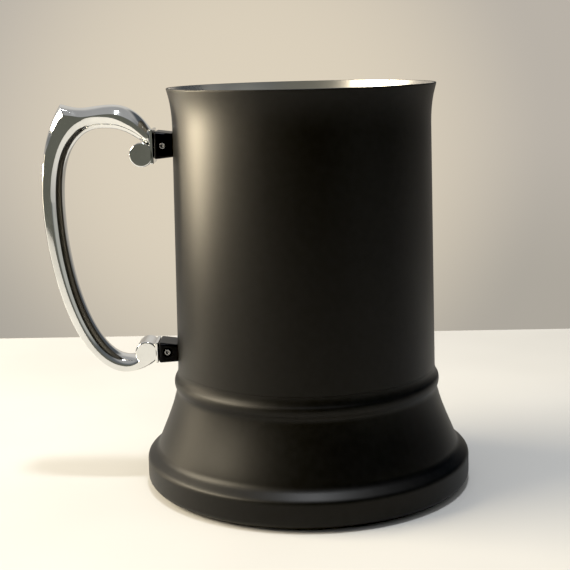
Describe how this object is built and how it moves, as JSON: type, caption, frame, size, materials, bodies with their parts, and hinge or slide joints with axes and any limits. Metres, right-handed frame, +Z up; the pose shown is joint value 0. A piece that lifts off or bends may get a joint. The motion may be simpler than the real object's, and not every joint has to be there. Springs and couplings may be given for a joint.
{
  "type": "drinking tankard",
  "caption": "Double-walled steel drinking tankard with a matt black flared foot and a chromed scrolled handle pinned between plastic blocks.",
  "frame": {"origin": "on the cup's axis, at the level of the surface that the foot's ring stands on", "axes": "+Z up along the cup's axis, the handle points to -X and its flat sides face -Y and +Y"},
  "size_m": [0.1437, 0.1108, 0.135],
  "materials": {
    "black_coat": "satin powder coat, matt black",
    "steel": "satin stainless steel",
    "chrome": "polished chrome plate",
    "black_plastic": "moulded black plastic, half gloss",
    "pin_steel": "plain steel pin"
  },
  "bodies": {
    "root": {"inner_liner": "steel", "outer_barrel": "black_coat", "foot_skirt": "black_coat", "base_plate": "steel", "handle": "chrome", "upper_block": "black_plastic", "lower_block": "black_plastic", "upper_tab": "steel", "lower_tab": "steel", "upper_pin": "pin_steel", "lower_pin": "pin_steel"}
  },
  "joints": []
}
